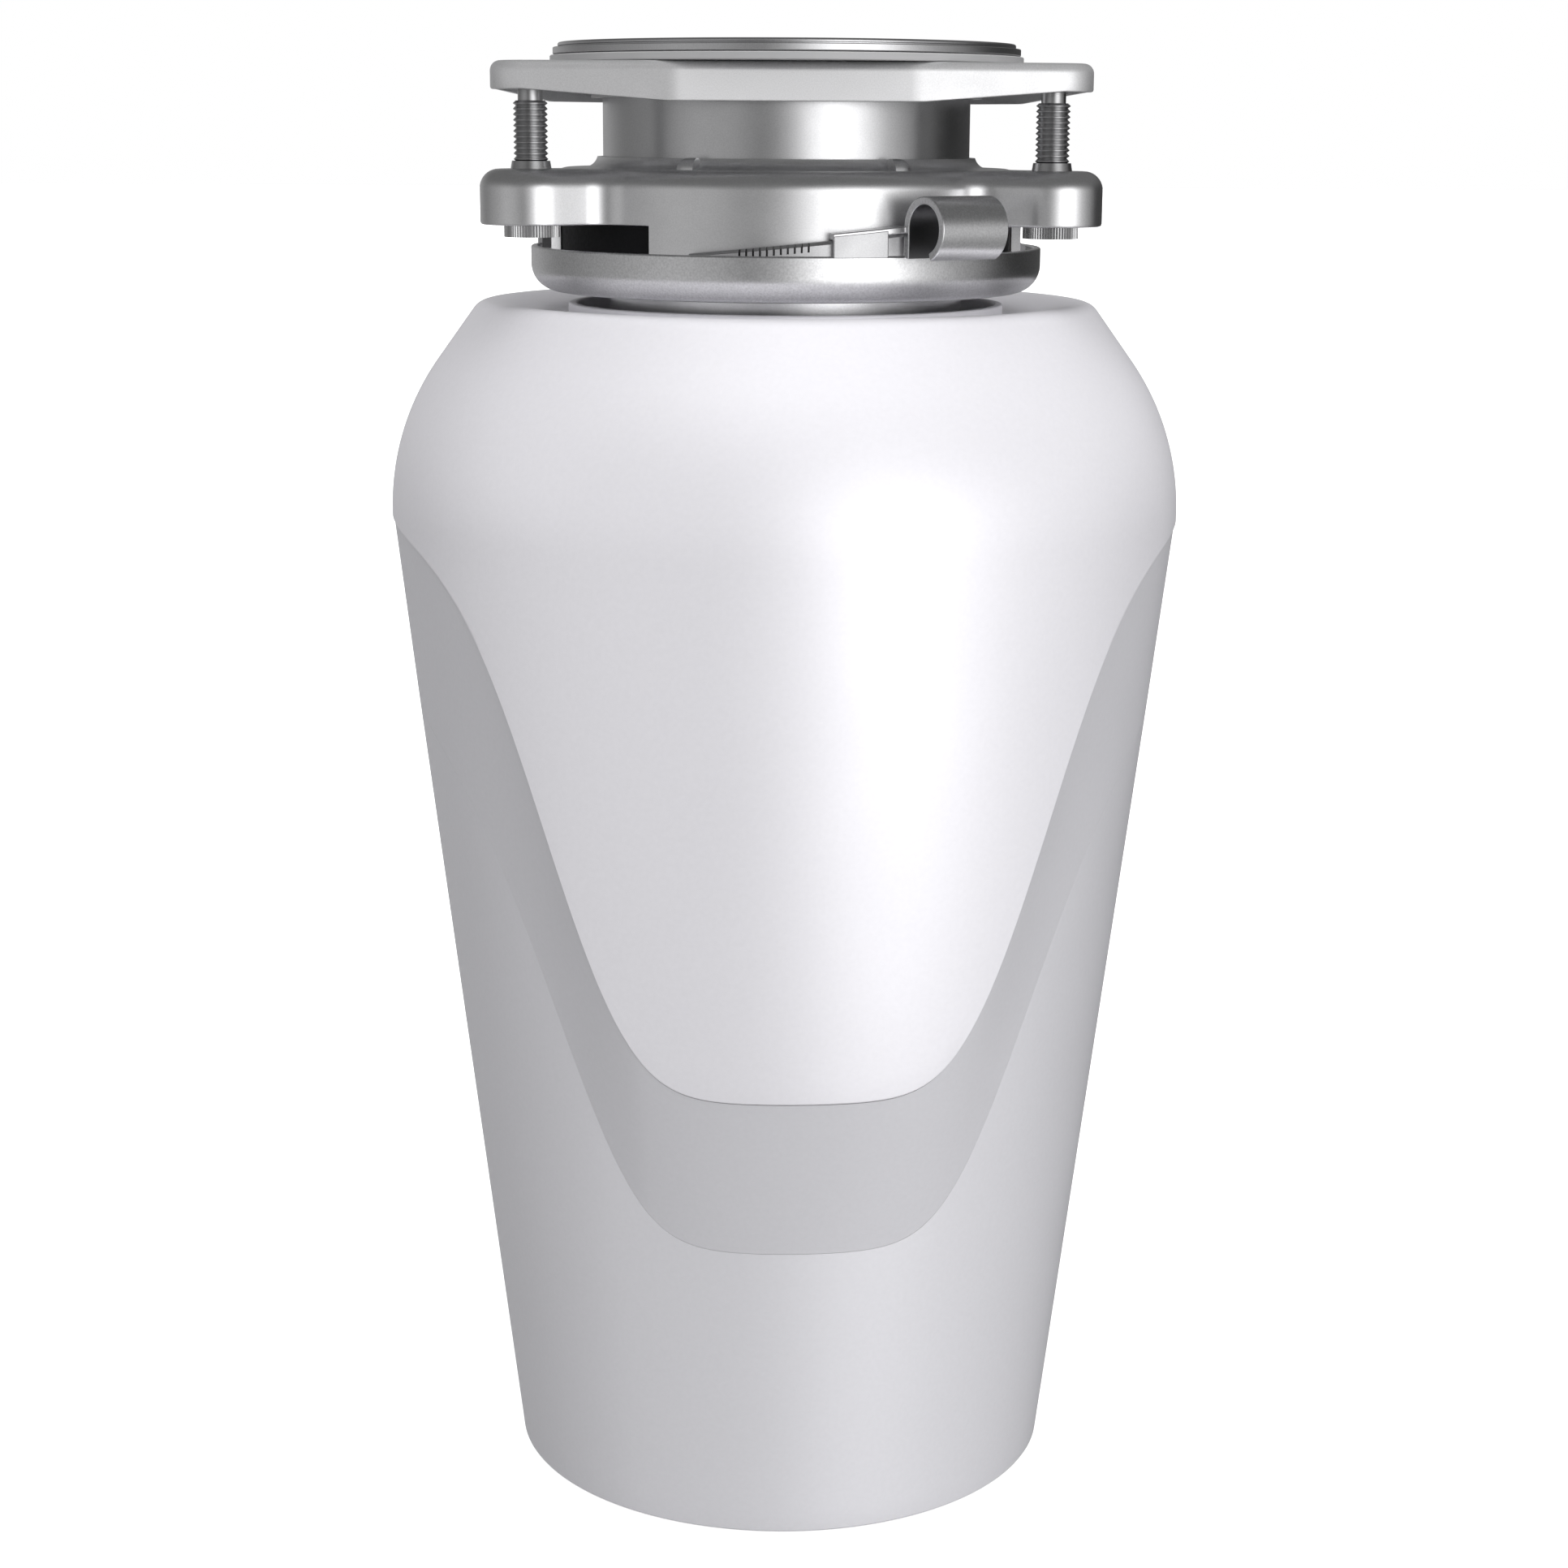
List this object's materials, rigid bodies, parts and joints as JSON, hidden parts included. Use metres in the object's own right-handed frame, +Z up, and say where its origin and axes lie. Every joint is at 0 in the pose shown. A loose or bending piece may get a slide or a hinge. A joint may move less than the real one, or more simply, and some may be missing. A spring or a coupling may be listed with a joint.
{
  "type": "kitchen food waste disposer",
  "caption": "Food waste disposer: grinding chamber over an electric motor in a tapered casing, with a screw-clamped quick-lock sink mount on top.",
  "frame": {"origin": "centre of the foot, on the floor plane, on the motor axis", "axes": "+Z up along the motor axis, -Y to the front, +X to the right seen from the front; the drain elbow is at the back (+Y)"},
  "size_m": [0.194, 0.241, 0.3564],
  "materials": {
    "shell_white": "satin pearl white",
    "shell_grey": "satin grey",
    "shell_light": "satin light grey",
    "satin_nickel": "satin nickel on steel",
    "cast_nickel": "satin die-cast",
    "stainless": "stainless",
    "zinc_steel": "zinc-plated",
    "green_steel": "green earth screw",
    "rubber_black": "black rubber",
    "fibre": "grey fibre gasket",
    "black_plastic": "black moulding",
    "die_cast": "die-cast",
    "lamination": "stacked steel",
    "copper": "enamelled copper",
    "lead_wire": "insulated wire",
    "ivory": "ivory moulding",
    "red_plastic": "red cap"
  },
  "bodies": {
    "disposer": {"mounting_gasket": "rubber_black", "splash_baffle": "rubber_black", "upper_shell": "shell_white", "accent_band": "shell_grey", "lower_shell": "shell_light", "bottom_cover": "black_plastic", "cover_screws": "zinc_steel", "sound_liner": "rubber_black", "hopper": "die_cast", "hopper_gasket": "rubber_black", "hopper_bolts": "zinc_steel", "dishwasher_plug": "black_plastic", "grind_ring": "stainless", "drain_chamber": "die_cast", "outlet_gasket": "rubber_black", "outlet_elbow": "black_plastic", "outlet_clamp": "zinc_steel", "outlet_screws": "zinc_steel", "upper_bearing": "zinc_steel", "lower_bearing": "zinc_steel", "shaft_seal": "rubber_black", "motor_can": "zinc_steel", "stator_core": "lamination", "stator_windings": "copper", "lower_end_bell": "die_cast", "through_bolts": "zinc_steel", "motor_leads": "lead_wire", "start_relay": "black_plastic", "terminal_block": "ivory", "ground_screw": "green_steel", "overload_protector": "black_plastic", "reset_spring": "stainless", "cord_gland": "black_plastic", "gland_nut": "zinc_steel"},
    "rotor": {"motor_shaft": "zinc_steel", "rotor_core": "lamination", "turntable": "stainless", "impeller_rivets": "stainless", "turntable_nut": "stainless", "water_slinger": "rubber_black"},
    "impeller_left": {"impeller_b": "stainless"},
    "impeller_right": {"impeller_a": "stainless"},
    "swivel": {"swivel_ring": "satin_nickel"},
    "mount": {"sink_flange": "satin_nickel", "fibre_gasket": "fibre", "snap_ring": "satin_nickel", "mounting_ring": "cast_nickel", "threaded_inserts": "stainless", "backup_plate": "cast_nickel"},
    "tip_1": {"screw_tip_1": "stainless"},
    "tip_2": {"screw_tip_2": "stainless"},
    "tip_3": {"screw_tip_3": "stainless"},
    "screw_1": {"mounting_screw_1": "stainless"},
    "screw_2": {"mounting_screw_2": "stainless"},
    "screw_3": {"mounting_screw_3": "stainless"},
    "button": {"reset_button": "red_plastic"}
  },
  "joints": [
    {"name": "turntable_spin", "type": "hinge", "parent": "disposer", "child": "rotor", "pos_m": [0, 0, 0.1], "axis": [0, 0, 1], "continuous": true},
    {"name": "impeller_right_swivel", "type": "hinge", "parent": "rotor", "child": "impeller_right", "pos_m": [0.042, 0, 0.195], "axis": [0, 0, 1], "continuous": true},
    {"name": "impeller_left_swivel", "type": "hinge", "parent": "rotor", "child": "impeller_left", "pos_m": [-0.042, 0, 0.195], "axis": [0, 0, 1], "continuous": true},
    {"name": "mount_lift", "type": "slide", "parent": "disposer", "child": "mount", "axis": [0, 0, 1], "range_m": [0, 0.0047]},
    {"name": "swivel_turn", "type": "hinge", "parent": "disposer", "child": "swivel", "pos_m": [0, 0, 0.303], "axis": [0, 0, 1], "range_deg": [-48.1, 0]},
    {"name": "tip_1_lift", "type": "slide", "parent": "mount", "child": "tip_1", "axis": [0, 0, 1], "range_m": [-0.01, 0]},
    {"name": "screw_1_turn", "type": "hinge", "parent": "tip_1", "child": "screw_1", "pos_m": [0.06028, -0.0348, 0.33], "axis": [0, 0, 1], "range_deg": [-2890, 10]},
    {"name": "tip_2_lift", "type": "slide", "parent": "mount", "child": "tip_2", "axis": [0, 0, 1], "range_m": [-0.01, 0]},
    {"name": "screw_2_turn", "type": "hinge", "parent": "tip_2", "child": "screw_2", "pos_m": [0, 0.0696, 0.33], "axis": [0, 0, 1], "range_deg": [-2890, 10]},
    {"name": "tip_3_lift", "type": "slide", "parent": "mount", "child": "tip_3", "axis": [0, 0, 1], "range_m": [-0.01, 0]},
    {"name": "screw_3_turn", "type": "hinge", "parent": "tip_3", "child": "screw_3", "pos_m": [-0.06028, -0.0348, 0.33], "axis": [0, 0, 1], "range_deg": [-2890, 10]},
    {"name": "reset_press", "type": "slide", "parent": "disposer", "child": "button", "axis": [0, 0, 1], "range_m": [-0.002, 0]}
  ],
  "couplings": [
    {"joint": "swivel_turn", "follows": "mount_lift", "rad_per_m": -178.25},
    {"joint": "screw_1_turn", "follows": "tip_1_lift", "rad_per_m": 5026.5},
    {"joint": "screw_2_turn", "follows": "tip_2_lift", "rad_per_m": 5026.5},
    {"joint": "screw_3_turn", "follows": "tip_3_lift", "rad_per_m": 5026.5}
  ]
}
